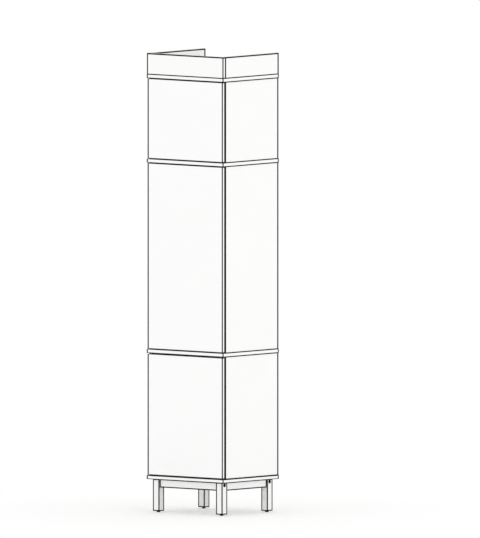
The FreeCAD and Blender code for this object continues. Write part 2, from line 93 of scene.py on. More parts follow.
cameraPlan = {
    "azimuth": 40,  # degrees from the front towards the right side
    "elevation": 4,
    "corner": (230 * mm, -200 * mm, 153 * mm),  # the boards' lowest near corner
    "across": 78.0 * mm,  # from that corner to the middle of the picture
    "up": 989.2 * mm,
    "pictureHeight": 2481.8 * mm,
    "distance": 5,
    "clipEnd": 60,
}


def makeCamera(plan):
    turn, rise = math.radians(plan["azimuth"]), math.radians(plan["elevation"])
    level = math.cos(rise)
    back = Vector((math.sin(turn) * level, -math.cos(turn) * level, math.sin(rise)))
    right = Vector((math.cos(turn), math.sin(turn), 0))
    middle = Vector(plan["corner"]) + plan["across"] * right + plan["up"] * back.cross(right)
    data = bpy.data.cameras.new("camera")
    data.type = "ORTHO"  # the drawing's parallels stay parallel
    data.ortho_scale = plan["pictureHeight"]
    data.clip_end = plan["clipEnd"]
    camera = bpy.data.objects.new("camera", data)
    bpy.context.scene.collection.objects.link(camera)
    camera.location = middle + plan["distance"] * back
    camera.rotation_mode = "QUATERNION"
    camera.rotation_quaternion = (-back).to_track_quat("-Z", "Y")
    bpy.context.scene.camera = camera


makeCamera(cameraPlan)
bpy.context.scene.view_settings.view_transform = "Standard"
print("camera: parallel view from", cameraPlan["azimuth"], "degrees")


# Light, backdrop and floor

studio = {
    "backdropColour": "#FFFFFF",
    "backdropStrength": 1.0,  # what the camera sees as white
    "roomLight": 0.97,  # the even light of a white room
    "lamps": [  # name, place, size in metres, watts
        ("keyLamp", (-1.9, -5.4, 1.5), 3.6, 20),
        ("sideLamp", (5.6, -0.6, 1.9), 3.6, 26),
        ("backLamp", (-0.8, 5.4, 1.6), 3.6, 20),
    ],
    "lampAim": (0, 0, 0.9),
    "floorColour": "#FBFBFA",
    "floorHalf": 20,
    "floorDrop": 0.2 * mm,  # below the glides, so that they and the floor share no plane
    "floorFade": (0.4, 1.5),  # metres from the cabinet in which the floor turns into backdrop
    "shadowLift": 0.3,  # how much of the backdrop shows in the floor beside the cabinet
}


def seenDirectly(tree):
    # 1 for the camera's rays and for what gloss or glass shows of the background
    rays = tree.nodes.new("ShaderNodeLightPath").outputs
    shown = rays["Is Camera Ray"]
    for kind in ("Is Glossy Ray", "Is Transmission Ray"):
        shown = addNode(tree, "ShaderNodeMath", {0: shown, 1: rays[kind]},
                        operation="ADD", use_clamp=True)
    return shown


def makeRoom(plan):
    world = bpy.data.worlds.new("whiteRoom")
    world.use_nodes = True
    tree = world.node_tree
    tree.nodes.clear()
    white = linearColour(plan["backdropColour"])
    light = addNode(tree, "ShaderNodeBackground", {"Color": white, "Strength": plan["roomLight"]})
    shown = addNode(tree, "ShaderNodeBackground",
                    {"Color": white, "Strength": plan["backdropStrength"]})
    both = addNode(tree, "ShaderNodeMixShader", {0: seenDirectly(tree), 1: light, 2: shown})
    addNode(tree, "ShaderNodeOutputWorld", {"Surface": both})
    bpy.context.scene.world = world


def makeLamps(plan):
    for name, place, size, watts in plan["lamps"]:
        data = bpy.data.lights.new(name, "AREA")
        data.shape = "DISK"
        data.size = size
        data.energy = watts
        lamp = bpy.data.objects.new(name, data)
        bpy.context.scene.collection.objects.link(lamp)
        lamp.location = place
        lamp.visible_camera = False
        way = Vector(plan["lampAim"]) - Vector(place)
        lamp.rotation_euler = way.to_track_quat("-Z", "Y").to_euler()


def makeFloor(plan):
    # A pale floor that takes the cabinet's shadow and turns into the white backdrop further out
    material, tree = startMaterial("paleMattPaintedFloor")
    place = addNode(tree, "ShaderNodeTexCoord", output="Object")
    away = addNode(tree, "ShaderNodeVectorMath", {0: place}, output="Value", operation="LENGTH")
    start, end = plan["floorFade"]
    far = addNode(tree, "ShaderNodeMapRange",
                  {"Value": away, "From Min": start, "From Max": end, "To Min": plan["shadowLift"]},
                  interpolation_type="SMOOTHSTEP")
    fade = addNode(tree, "ShaderNodeMath", {0: seenDirectly(tree), 1: far}, operation="MULTIPLY")
    floor = addNode(tree, "ShaderNodeBsdfDiffuse", {"Color": linearColour(plan["floorColour"])})
    backdrop = addNode(tree, "ShaderNodeEmission", {
        "Color": linearColour(plan["backdropColour"]), "Strength": plan["backdropStrength"]})
    both = addNode(tree, "ShaderNodeMixShader", {0: fade, 1: floor, 2: backdrop})
    addNode(tree, "ShaderNodeOutputMaterial", {"Surface": both})

    mesh = bpy.data.meshes.new("floor")
    half = plan["floorHalf"]
    corners = [(-half, -half, 0), (half, -half, 0), (half, half, 0), (-half, half, 0)]
    mesh.from_pydata(corners, [], [(0, 1, 2, 3)])
    mesh.materials.append(material)
    floorPiece = bpy.data.objects.new("floor", mesh)
    bpy.context.scene.collection.objects.link(floorPiece)
    floorPiece.location = (0, 0, -plan["floorDrop"])


makeRoom(studio)
makeLamps(studio)
makeFloor(studio)
print("studio:", len(studio["lamps"]), "soft lamps")


# Materials

edgeLine = {
    "colour": "#0B0B0B",
    "fade": 0.08,  # the share of its width over which a line ends
    "cutDepth": 0.8 * mm,  # what lies deeper than this below every face was drilled or milled
    # Millimetres beside the low and the high X, Y and Z borders. A real line is about 0.8 mm wide,
    # and this one is drawn wide enough to show at 4.6 mm to the pixel, most of all where it ends a
    # piece's outline.
    "widths": {
        "plain": ((4.2, 4.2, 2.8), (4.2, 4.2, 2.8)),
        "door": ((8.0, 4.0, 3.0), (3.8, 4.8, 2.2)),
        "board": ((7.0, 4.0, 3.2), (3.8, 7.5, 2.2)),
        "board_bottom": ((7.0, 4.0, 3.2), (3.8, 7.5, 3.8)),
        "side": ((4.2, 5.0, 3.0), (4.2, 9.0, 2.2)),
        "collar_front": ((7.5, 4.0, 3.0), (3.8, 4.4, 6.0)),
        "collar": ((4.2, 4.6, 3.0), (4.2, 9.0, 6.0)),
        "leg": ((7.0, 4.2, 5.0), (4.2, 8.0, 4.2)),
        "rail": ((5.5, 3.6, 5.4), (3.6, 6.5, 4.2)),
    },
}
ownNumbers = {"output": "Vector", "attribute_type": "OBJECT"}  # for what a piece carries itself


def boardEdges(tree, plan):
    # Three masks from a board's own box: the line beside its edges, what was cut into it, and the
    # line outside the cuts. That last part is made a near-black metal, because a plastic skin would
    # mirror the white room and turn grey.
    place = addNode(tree, "ShaderNodeTexCoord", output="Object")
    low = addNode(tree, "ShaderNodeAttribute", attribute_name="boxLow", **ownNumbers)
    high = addNode(tree, "ShaderNodeAttribute", attribute_name="boxHigh", **ownNumbers)
    above = addNode(tree, "ShaderNodeVectorMath", {0: place, 1: low}, operation="SUBTRACT")
    below = addNode(tree, "ShaderNodeVectorMath", {0: high, 1: place}, operation="SUBTRACT")
    near = addNode(tree, "ShaderNodeVectorMath", {0: above, 1: below}, operation="MINIMUM")
    shares = []
    for gap, name in ((above, "lineLow"), (below, "lineHigh")):
        width = addNode(tree, "ShaderNodeAttribute", attribute_name=name, **ownNumbers)
        share = addNode(tree, "ShaderNodeVectorMath", {0: gap, 1: width}, operation="DIVIDE")
        shares.append(share)
    counted = addNode(tree, "ShaderNodeVectorMath", dict(enumerate(shares)), operation="MINIMUM")
    smallest, middle = orderedParts(tree, near)[0], orderedParts(tree, counted)[1]
    line = addNode(tree, "ShaderNodeMapRange",
                   {"Value": middle, "From Min": 1 + plan["fade"], "From Max": 1 - plan["fade"]})
    cut = addNode(tree, "ShaderNodeMath", {0: smallest, 1: plan["cutDepth"]},
                  operation="GREATER_THAN")
    inked = addNode(tree, "ShaderNodeMath", {0: line, 1: cut}, operation="SUBTRACT", use_clamp=True)
    return place, line, cut, inked


def orderedParts(tree, vector):
    # the smallest and the middle one of a vector's three parts
    parts = tree.nodes.new("ShaderNodeSeparateXYZ")
    tree.links.new(vector, parts.inputs[0])
    x, y, z = parts.outputs
    lowPair = addNode(tree, "ShaderNodeMath", {0: x, 1: y}, operation="MINIMUM")
    highPair = addNode(tree, "ShaderNodeMath", {0: x, 1: y}, operation="MAXIMUM")
    upper = addNode(tree, "ShaderNodeMath", {0: highPair, 1: z}, operation="MINIMUM")
    smallest = addNode(tree, "ShaderNodeMath", {0: lowPair, 1: z}, operation="MINIMUM")
    middle = addNode(tree, "ShaderNodeMath", {0: lowPair, 1: upper}, operation="MAXIMUM")
    return smallest, middle


def mixColours(tree, share, first, second):
    # share 0 gives the first; each is hex text or a link
    plain = [linearColour(tone) if isinstance(tone, str) else tone for tone in (first, second)]
    inputs = {0: share, 6: plain[0], 7: plain[1]}
    return addNode(tree, "ShaderNodeMix", inputs, output=2, data_type="RGBA")


laminateLook = {
    "name": "whiteLaminatePressedOnChipboard",
    "face": "#F8F8F8", "faceShade": "#F5F5F4",
    "core": "#BFA27A", "coreDark": "#86704F",
    "cloud": 220 * mm,  # how far apart the sheet's gloss rises and falls
    "grain": 1.4 * mm, "grainDepth": 0.04 * mm,  # pearl of the press plate
    "chip": 2.5 * mm,
    "roughness": (0.42, 0.5),
}
foilLook = {
    "name": "whiteFoilPressedOnFibreboard",
    "face": "#F8F8F8", "faceShade": "#F6F6F6",
    "core": "#A98C66", "coreDark": "#94784F",
    "cloud": 220 * mm,
    "grain": 2.2 * mm, "grainDepth": 0.02 * mm,  # soft orange peel of the membrane
    "chip": 0.4 * mm,
    "roughness": (0.32, 0.38),
}
hardboardLook = {
    "name": "whiteLacquerRolledOnHardboard",
    "face": "#F2F2F0", "faceShade": "#EDEDEA",
    "core": "#8A6A49", "coreDark": "#745739",
    "cloud": 220 * mm,
    "grain": 0.9 * mm, "grainDepth": 0.06 * mm,  # fibres under the lacquer
    "chip": 0.5 * mm,
    "roughness": (0.55, 0.66),
}


def coatedBoard(look):
    # Laminate on chipboard for the carcass, foil on fibreboard for the doors, lacquer on hardboard
    # for the backs: even white skins that differ in gloss and in their fine relief, with the skin's
    # dark edge showing as a thin line, and bare chips or fibres in every bore and groove.
    material, tree = startMaterial(look["name"])
    place, line, cut, inked = boardEdges(tree, edgeLine)
    cloud = addNode(tree, "ShaderNodeTexNoise",
                    {"Vector": place, "Scale": 1 / look["cloud"], "Detail": 3.0})
    face = mixColours(tree, cloud, look["faceShade"], look["face"])
    chips = addNode(tree, "ShaderNodeTexVoronoi", {"Vector": place, "Scale": 1 / look["chip"]},
                    output="Color")
    chipTone = addNode(tree, "ShaderNodeRGBToBW", {0: chips})
    core = mixColours(tree, chipTone, look["coreDark"], look["core"])
    skin = mixColours(tree, line, face, edgeLine["colour"])
    colour = mixColours(tree, cut, skin, core)
    grain = addNode(tree, "ShaderNodeTexNoise",
                    {"Vector": place, "Scale": 1 / look["grain"], "Detail": 2.0})
    bump = addNode(tree, "ShaderNodeBump",
                   {"Height": grain, "Strength": 1.0, "Distance": look["grainDepth"]},
                   output="Normal")
    smooth, dull = look["roughness"]
    satin = addNode(tree, "ShaderNodeMapRange", {"Value": cloud, "To Min": smooth, "To Max": dull})
    rough = addNode(tree, "ShaderNodeMath", {0: satin, 1: cut}, operation="MAXIMUM")
    finishMaterial(tree, Base_Color=colour, Metallic=inked, Roughness=rough, IOR=1.5, Normal=bump)
    return material


beechLook = {
    "paint": "#F8F8F8", "paintShade": "#F4F4F3", "paintRoughness": (0.46, 0.36),
    "fresh": "#D9B48A", "dark": "#B98C5E", "bareRoughness": 0.7,
    "pore": 1.6 * mm,  # across the grain
    "poreDepth": 0.05 * mm,
    "stretch": 14,  # how much longer a pore is than wide
}


def paintedBeech(look):
    # Beech sprayed white: a satin film that still shows the pores as short lines along the grain.
    material, tree = startMaterial("whiteSatinPaintOnBeech")
    place, line, cut, inked = boardEdges(tree, edgeLine)
    grainWay = addNode(tree, "ShaderNodeAttribute", attribute_name="grainWay", **ownNumbers)
    drawn = addNode(tree, "ShaderNodeVectorMath", {0: place, 1: grainWay}, operation="MULTIPLY")
    pores = addNode(tree, "ShaderNodeTexNoise",
                    {"Vector": drawn, "Scale": 1 / look["pore"], "Detail": 3.0})
    paint = mixColours(tree, pores, look["paintShade"], look["paint"])
    wood = mixColours(tree, pores, look["dark"], look["fresh"])
    skin = mixColours(tree, line, paint, edgeLine["colour"])
    colour = mixColours(tree, cut, skin, wood)
    bump = addNode(tree, "ShaderNodeBump",
                   {"Height": pores, "Strength": 1.0, "Distance": look["poreDepth"]},
                   output="Normal")
    dull, smooth = look["paintRoughness"]
    rough = addNode(tree, "ShaderNodeMapRange", {"Value": pores, "To Min": dull, "To Max": smooth})
    finishMaterial(tree, Base_Color=colour, Metallic=inked, Roughness=rough, IOR=1.5, Normal=bump)
    return material


def plainBeech(look):
    # Turned and fluted beech dowels, unfinished: warm, dry wood with fine darker pores.
    material, tree = startMaterial("beechDowelTurned")
    place = addNode(tree, "ShaderNodeTexCoord", output="Object")
    drawn = addNode(tree, "ShaderNodeVectorMath", {0: place, 1: (1, 1, 1 / look["stretch"])},
                    operation="MULTIPLY")
    pores = addNode(tree, "ShaderNodeTexNoise",
                    {"Vector": drawn, "Scale": 1 / look["pore"], "Detail": 4.0})
    colour = mixColours(tree, pores, look["dark"], look["fresh"])
    bump = addNode(tree, "ShaderNodeBump",
                   {"Height": pores, "Strength": 1.0, "Distance": look["poreDepth"]},
                   output="Normal")
    finishMaterial(tree, Base_Color=colour, Roughness=look["bareRoughness"], IOR=1.5, Normal=bump)
    return material


zincPlateLook = {
    "name": "steelBrightZincPlated",
    "tone": "#CDCFD0", "toneShade": "#B4B8BB", "patch": 6.0 * mm,
    "grain": 0.5 * mm, "grainDepth": 0.01 * mm, "roughness": (0.26, 0.4), "metallic": 1.0,
}
castZincLook = {
    "name": "zincDieCastTumbled",
    "tone": "#B3B5B7", "toneShade": "#93969A", "patch": 3.0 * mm,
    "grain": 0.35 * mm, "grainDepth": 0.03 * mm, "roughness": (0.42, 0.58), "metallic": 1.0,
}
blackBoltLook = {
    "name": "steelBlackOxideFinish",
    "tone": "#161617", "toneShade": "#0D0D0E", "patch": 2.0 * mm,
    "grain": 0.3 * mm, "grainDepth": 0.01 * mm, "roughness": (0.5, 0.62), "metallic": 0.9,
}


def metalFinish(look):
    # Zinc plating is bright with faint cloudy patches, die-cast zinc is duller with a tumbled skin,
    # and black oxide is a thin dark film that keeps the metal's soft shine.
    material, tree = startMaterial(look["name"])
    place = addNode(tree, "ShaderNodeTexCoord", output="Object")
    patches = addNode(tree, "ShaderNodeTexNoise",
                      {"Vector": place, "Scale": 1 / look["patch"], "Detail": 4.0})
    colour = mixColours(tree, patches, look["toneShade"], look["tone"])
    grain = addNode(tree, "ShaderNodeTexNoise",
                    {"Vector": place, "Scale": 1 / look["grain"], "Detail": 2.0})
    bump = addNode(tree, "ShaderNodeBump",
                   {"Height": grain, "Strength": 1.0, "Distance": look["grainDepth"]},
                   output="Normal")
    smooth, dull = look["roughness"]
    rough = addNode(tree, "ShaderNodeMapRange",
                    {"Value": patches, "To Min": smooth, "To Max": dull})
    finishMaterial(tree, Base_Color=colour, Metallic=look["metallic"], Roughness=rough, Normal=bump)
    return material


blackPlasticLook = {
    "name": "polypropyleneBlackMoulded",
    "tone": "#191919", "toneShade": "#111111", "pebble": 0.7 * mm, "pebbleDepth": 0.05 * mm,
    "roughness": 0.52, "refraction": 1.49,
}
greyPlasticLook = {
    "name": "acetalGreyMoulded",
    "tone": "#8E9194", "toneShade": "#85888B", "pebble": 0.4 * mm, "pebbleDepth": 0.01 * mm,
    "roughness": 0.34, "refraction": 1.48,
}
whitePlasticLook = {
    "name": "absWhiteMoulded",
    "tone": "#EEEEEA", "toneShade": "#E8E8E3", "pebble": 0.6 * mm, "pebbleDepth": 0.03 * mm,
    "roughness": 0.42, "refraction": 1.53,
}


def mouldedPlastic(look):
    # Moulded plastic: one colour right through, with the pebble that a spark-eroded mould leaves.
    material, tree = startMaterial(look["name"])
    place = addNode(tree, "ShaderNodeTexCoord", output="Object")
    pebble = addNode(tree, "ShaderNodeTexVoronoi", {"Vector": place, "Scale": 1 / look["pebble"]},
                     output="Distance")
    colour = mixColours(tree, pebble, look["tone"], look["toneShade"])
    bump = addNode(tree, "ShaderNodeBump",
                   {"Height": pebble, "Strength": 1.0, "Distance": look["pebbleDepth"]},
                   output="Normal")
    finishMaterial(tree, Base_Color=colour, Roughness=look["roughness"], IOR=look["refraction"],
                   Normal=bump)
    return material


rubberLook = {
    "name": "polyurethaneClearCast",
    "tone": "#F4F7F6", "toneHazy": "#E9EEEC", "haze": 1.5 * mm,
    "roughness": (0.1, 0.22), "refraction": 1.49, "clearness": 0.85,
}


def clearRubber(look):
    # Cast polyurethane buffers: water-clear domes, a little cloudy with handling.
    material, tree = startMaterial(look["name"])
    place = addNode(tree, "ShaderNodeTexCoord", output="Object")
    haze = addNode(tree, "ShaderNodeTexNoise",
                   {"Vector": place, "Scale": 1 / look["haze"], "Detail": 2.0})
    colour = mixColours(tree, haze, look["toneHazy"], look["tone"])
    smooth, dull = look["roughness"]
    rough = addNode(tree, "ShaderNodeMapRange", {"Value": haze, "To Min": smooth, "To Max": dull})
    finishMaterial(tree, Base_Color=colour, Roughness=rough, IOR=look["refraction"],
                   Transmission_Weight=look["clearness"])
    return material


finishes = {
    "white_board": coatedBoard(laminateLook),
    "white_door": coatedBoard(foilLook),
    "white_back": coatedBoard(hardboardLook),
    "white_wood": paintedBeech(beechLook),
    "beech": plainBeech(beechLook),
    "zinc_steel": metalFinish(zincPlateLook),
    "zinc_cast": metalFinish(castZincLook),
    "black_steel": metalFinish(blackBoltLook),
    "black_plastic": mouldedPlastic(blackPlasticLook),
    "grey_plastic": mouldedPlastic(greyPlasticLook),
    "white_plastic": mouldedPlastic(whitePlasticLook),
    "clear_rubber": clearRubber(rubberLook),
}
print("materials:", len(finishes))


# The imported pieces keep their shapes, get their finishes, and carry their own box, the widths of
# their lines and the way of their grain for the materials to read

def finishPackedPieces():
    table = edgeLine["widths"]
    for name, node in frame["nodes"].items():
        low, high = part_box(name)
        node["boxLow"] = list(low)
        node["boxHigh"] = list(high)
        widths = table.get(name) or table.get(name.split("_")[0]) or table["plain"]
        node["lineLow"], node["lineHigh"] = ([width * mm for width in row] for row in widths)
        size = high - low
        longest = max(size)
        along = 1 / beechLook["stretch"]
        node["grainWay"] = [along if side == longest else 1.0 for side in size]
        for slot in node.material_slots:
            slot.material = finishes[slotOf[name]]


finishPackedPieces()
print("packed pieces finished:", len(frame["nodes"]))


# Turned pieces

up, down, forwards, backwards = (0, 0, 1), (0, 0, -1), (0, -1, 0), (0, 1, 0)
recess = {"arm": 0.3, "nearZero": 1e-9}  # an arm's half width as a share of its reach


def aimed(place, way):
    # puts a piece's own origin at a place and its own Z axis along a direction
    return Matrix.Translation(place) @ Vector(way).to_track_quat("Z", "Y").to_matrix().to_4x4()


def hexagon(turn):
    # a hexagon's reach at an angle, as a share of its corners' reach
    return math.cos(math.pi / 6) / math.cos(turn % (math.pi / 3) - math.pi / 6)


def cross(turn):
    # a cross recess's reach at an angle, as a share of its arms' reach
    along = abs(math.cos(turn)) + recess["nearZero"]
    aside = abs(math.sin(turn)) + recess["nearZero"]
    arm = recess["arm"]
    return min(1, max(min(1 / along, arm / aside), min(1 / aside, arm / along)))


def addTurned(bm, outline, place, sides):
    # a turned body from rows of radius and height, and of a shape where a row isn't round
    rings = []
    for radius, height, *shape in outline:
        ring = []
        for step in range(sides if radius else 1):
            turn = 2 * math.pi * step / sides
            reach = radius * (shape[0](turn) if shape else 1)
            spot = Vector((reach * math.cos(turn), reach * math.sin(turn), height)) * mm
            ring.append(bm.verts.new(place @ spot))
        rings.append(ring)
    if outline[0][0]:
        rings.append(rings[0])  # an outline that doesn't start on the axis closes on itself
    for first, second in zip(rings, rings[1:]):
        for step in range(sides):
            after = (step + 1) % sides
            corners = [first[step % len(first)], first[after % len(first)]]
            corners += [second[after % len(second)], second[step % len(second)]]
            corners = list(dict.fromkeys(corners))
            if len(corners) > 2:
                bm.faces.new(corners)


def addThread(bm, place, radius, root, pitch, start, end, sides):
    # a screw thread: one crest and one root line that wind up together
    steps = int((end - start) / pitch * sides)
    crests, roots = [], []
    for step in range(steps + 1):
        turn = 2 * math.pi * step / sides
        height = start + pitch * step / sides
        for line, reach, lift in ((crests, radius, 0), (roots, root, pitch / 2)):
            spot = Vector((reach * math.cos(turn), reach * math.sin(turn), height + lift)) * mm
            line.append(bm.verts.new(place @ spot))
    for step in range(steps):
        bm.faces.new((crests[step], crests[step + 1], roots[step + 1], roots[step]))
        over = step + sides  # one turn higher
        if over < steps:
            bm.faces.new((roots[step], roots[step + 1], crests[over + 1], crests[over]))
    rims = [(crests[:sides + 1] + roots[:1], start), (roots[steps - sides:] + crests[steps:], end)]
    for rim, height in rims:  # the thread's two ends are closed
        middle = bm.verts.new(place @ (Vector((0, 0, height)) * mm))
        for corner, after in zip(rim, rim[1:] + rim[:1]):
            bm.faces.new((corner, after, middle))


def addBlock(bm, low, high, ease):
    # a block with eased edges, from its corners in metres
    middle, size = (Vector(low) + Vector(high)) / 2, Vector(high) - Vector(low)
    place = Matrix.Translation(middle) @ Matrix.Diagonal((*size, 1))
    made = bmesh.ops.create_cube(bm, size=1, matrix=place)
    edges = list({edge for vert in made["verts"] for edge in vert.link_edges})
    bmesh.ops.bevel(bm, geom=edges, offset=ease, segments=3, profile=0.5, affect="EDGES")


pieceShading = {"sharpFrom": 33}  # degrees between two faces


def makePiece(bm, name, body, slot, *stands):
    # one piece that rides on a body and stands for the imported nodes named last
    bmesh.ops.recalc_face_normals(bm, faces=bm.faces)
    mesh = bpy.data.meshes.new(name)
    bm.to_mesh(mesh)
    bm.free()
    mesh.polygons.foreach_set("use_smooth", [True] * len(mesh.polygons))
    mesh.set_sharp_from_angle(angle=math.radians(pieceShading["sharpFrom"]))
    mesh.materials.append(finishes[slot])
    piece = bpy.data.objects.new(name, mesh)
    bpy.context.scene.collection.objects.link(piece)
    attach(piece, body)
    if stands:
        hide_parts(*stands)


def makeTurnedPiece(outline, place, sides, *naming):
    # a piece of one turned body
    bm = bmesh.new()
    addTurned(bm, outline, place, sides)
    makePiece(bm, *naming)


# Levelling feet: a black glide on a threaded steel spindle

foot = {
    "glide": [(0, 0.5), (5.0, 0.5), (5.6, 0), (7.4, 0), (8.2, 0.3), (8.5, 1.0), (8.5, 2.2),
              (8.3, 3.1), (7.7, 4.0), (6.8, 4.8), (5.6, 5.4), (4.6, 5.6), (4.6, 5.9), (0, 5.9)],
    "glideSides": 48,
    "neck": [(0, 5.0), (2.7, 5.0), (2.7, 33.6), (2.2, 34.6), (0, 34.6)],
    "neckSides": 24,
    "thread": {"radius": 3.0, "root": 2.5, "pitch": 1.0, "start": 5.6, "end": 33.4, "sides": 24},
}


def makeFeet():
    for row in ("front", "back"):
        for side in hands:
            node = "foot_" + row + "_" + side
            low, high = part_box(node)
            place = Matrix.Translation(((low.x + high.x) / 2, (low.y + high.y) / 2, 0))
            makeTurnedPiece(foot["glide"], place, foot["glideSides"],
                            "glide_" + row + "_" + side, node, "black_plastic", node)
            spindle = bmesh.new()
            addTurned(spindle, foot["neck"], place, foot["neckSides"])
            addThread(spindle, place, **foot["thread"])
            makePiece(spindle, "spindle_" + row + "_" + side, node, "zinc_steel")


makeFeet()
print("feet: 4")


# Leg bolts: black domed heads with a hexagon socket, on the legs' outer faces

legBolt = {
    "drop": 12.0 * mm,  # below the leg's top
    "outline": [(0, -45), (3.0, -45), (3.0, 0), (8.1, 0), (8.5, 0.3), (8.5, 0.9), (8.2, 1.5),
                (7.3, 2.2), (6.0, 2.7), (4.4, 3.0), (2.85, 3.0), (2.7, 2.85, hexagon),
                (2.7, 1.1, hexagon), (0, 0.9)],
    "sides": 48,
}


def makeLegBolts():
    heads = bmesh.new()
    for row in ("front", "back"):
        railLow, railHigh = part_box("rail_" + row)
        for side, hand in hands.items():
            low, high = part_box("leg_" + row + "_" + side)
            outer = high.x if hand > 0 else low.x
            spot = (outer, (railLow.y + railHigh.y) / 2, high.z - legBolt["drop"])
            addTurned(heads, legBolt["outline"], aimed(spot, (hand, 0, 0)), legBolt["sides"])
    makePiece(heads, "leg_bolt_heads", "carcass", "black_steel", "leg_bolts")


makeLegBolts()
print("leg bolts: 4")


# Shelf pins with eyelets in the free holes, cam locks, and door buffers, all on the side panels

shelfPin = {
    "fromPanelFront": 60 * mm,
    "fromBackPanel": 60 * mm,
    "radius": 2.5 * mm,
    "pitch": 32 * mm,  # to the free holes above and below each pin
    "outline": [(0, -10), (2.1, -10), (2.5, -9.5), (2.5, 0), (3.9, 0), (4.0, 0.2), (4.0, 0.6),
                (3.8, 0.85), (2.5, 0.9), (2.5, 8.3), (2.2, 8.8), (1.7, 9.0), (0, 9.0)],
    "eyelet": [(2.0, -11), (2.0, 0.08), (2.15, 0.15), (3.4, 0.15), (3.6, 0.06), (3.6, 0),
               (2.2, 0), (2.2, -11)],
    "sides": 24,
}
camLock = {
    "fromEdge": 48 * mm,
    "step": 32 * mm,  # the upper ends' cams stand this much further in
    "fromEnd": 34 * mm,
    "outline": [(0, -12.4), (7.2, -12.4), (7.4, -12.0), (7.4, 0), (8.1, 0), (8.2, 0.06),
                (8.1, 0.15), (6.6, 0.2), (6.3, 0.1), (6.2, -0.4), (4.9, -0.4), (4.7, -0.1),
                (4.0, -0.1), (3.7, -0.15, cross), (3.2, -3.4, cross), (0, -3.6)],
    "sides": 36,
}
buffer = {
    "fromEnd": 30 * mm,
    "outline": [(0, 0.02), (3.8, 0.02), (4.0, 0.3), (3.85, 0.85), (3.3, 1.3), (2.4, 1.58),
                (1.2, 1.69), (0, 1.7)],
    "sides": 32,
}


def innerFace(compartment, side):
    # the X of a side panel's face inside the cabinet
    low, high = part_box("side_" + compartment + "_" + side)
    return low.x if hands[side] > 0 else high.x


def makeShelfPins():
    pins, eyelets = bmesh.new(), bmesh.new()
    sides = shelfPin["sides"]
    for shelf in ("shelf_lower_1", "shelf_middle_1", "shelf_middle_2"):
        compartment = shelf.split("_")[1]
        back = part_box("back_" + compartment)[0].y
        for side, hand in hands.items():
            inner = innerFace(compartment, side)
            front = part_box("side_" + compartment + "_" + side)[0].y
            for y in (front + shelfPin["fromPanelFront"], back - shelfPin["fromBackPanel"]):
                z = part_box(shelf)[0].z - shelfPin["radius"]
                addTurned(pins, shelfPin["outline"], aimed((inner, y, z), (-hand, 0, 0)), sides)
                for step in (-1, 1):
                    spot = (inner, y, z + step * shelfPin["pitch"])
                    addTurned(eyelets, shelfPin["eyelet"], aimed(spot, (-hand, 0, 0)), sides)
    makePiece(pins, "shelf_pins_collared", "carcass", "zinc_steel", "shelf_pins")
    makePiece(eyelets, "pin_hole_eyelets", "carcass", "white_plastic")


def makeCams():
    cams = bmesh.new()
    edge, step, end = camLock["fromEdge"], camLock["step"], camLock["fromEnd"]
    for compartment in compartments:
        for side, hand in hands.items():
            low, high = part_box("side_" + compartment + "_" + side)
            inner = innerFace(compartment, side)
            for z, shift in ((low.z + end, 0), (high.z - end, step)):
                for y in (low.y + edge + shift, high.y - edge - shift):
                    place = aimed((inner, y, z), (-hand, 0, 0))
                    addTurned(cams, camLock["outline"], place, camLock["sides"])
    makePiece(cams, "cam_faces", "carcass", "zinc_cast", "cam_locks")


def makeBuffers():
    # on the panels that the doors' free edges meet
    buffers = bmesh.new()
    for compartment in compartments:
        low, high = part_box("side_" + compartment + "_right")
        for z in (low.z + buffer["fromEnd"], high.z - buffer["fromEnd"]):
            place = aimed(((low.x + high.x) / 2, low.y, z), forwards)
            addTurned(buffers, buffer["outline"], place, buffer["sides"])
    makePiece(buffers, "buffer_domes", "carcass", "clear_rubber", "door_buffers")


makeShelfPins()
makeCams()
makeBuffers()
print("shelf pins, cams and buffers made")


# Screw heads

screwHead = {
    "raised": [(0, 0), (3.3, 0), (3.2, 0.3), (2.8, 0.55), (2.3, 0.7), (2.0, 0.75),
               (1.85, 0.74, cross), (1.6, 0.1, cross), (0, 0.08)],
    "pan": [(0, 0), (3.4, 0), (3.5, 0.3), (3.4, 0.9), (3.0, 1.5), (2.4, 1.85), (2.1, 1.92),
            (1.95, 1.9, cross), (1.7, 0.7, cross), (0, 0.6)],
    "sides": 32,
}


# Door pivots: shouldered pins, and raised screw heads on their plates

pivot = {
    "pin": 2.5, "tip": 1.9, "tipLength": 0.8,  # millimetres
    "shoulder": 4.5, "shoulderTop": 4.2, "shoulderEase": 0.4,
    "reach": 10.0,  # from the door's end into its bush
    "sides": 32,
    "plateScrews": (12 * mm, 26 * mm),  # from the pivot along the plate
}


def makePivots():
    pins, screws = bmesh.new(), bmesh.new()
    for number, compartment in enumerate(compartments):
        low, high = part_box("door_" + compartment)
        bushLow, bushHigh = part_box("door_bushes_" + compartment)
        x, y = (bushLow.x + bushHigh.x) / 2, (bushLow.y + bushHigh.y) / 2
        under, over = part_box(boards[number])[1].z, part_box(boards[number + 1])[0].z
        gap = (low.z - under) / mm
        lowerPin = [(0, 0), (pivot["shoulder"], 0),
                    (pivot["shoulder"], gap - pivot["shoulderEase"]),
                    (pivot["shoulderTop"], gap), (pivot["pin"], gap)]
        lowerPin += pinEnd(gap + pivot["reach"])
        addTurned(pins, lowerPin, aimed((x, y, under), up), pivot["sides"])
        gap = (over - high.z) / mm
        upperPin = [(0, 0), (pivot["pin"], 0)] + pinEnd(gap + pivot["reach"])
        addTurned(pins, upperPin, aimed((x, y, over), down), pivot["sides"])
        for along in pivot["plateScrews"]:
            for z, way in ((under, up), (over, down)):
                place = aimed((x + along, y, z), way)
                addTurned(screws, screwHead["raised"], place, screwHead["sides"])
    makePiece(pins, "pivot_pins_shouldered", "carcass", "zinc_steel", "pivot_pins")
    makePiece(screws, "plate_screw_heads", "carcass", "zinc_steel")


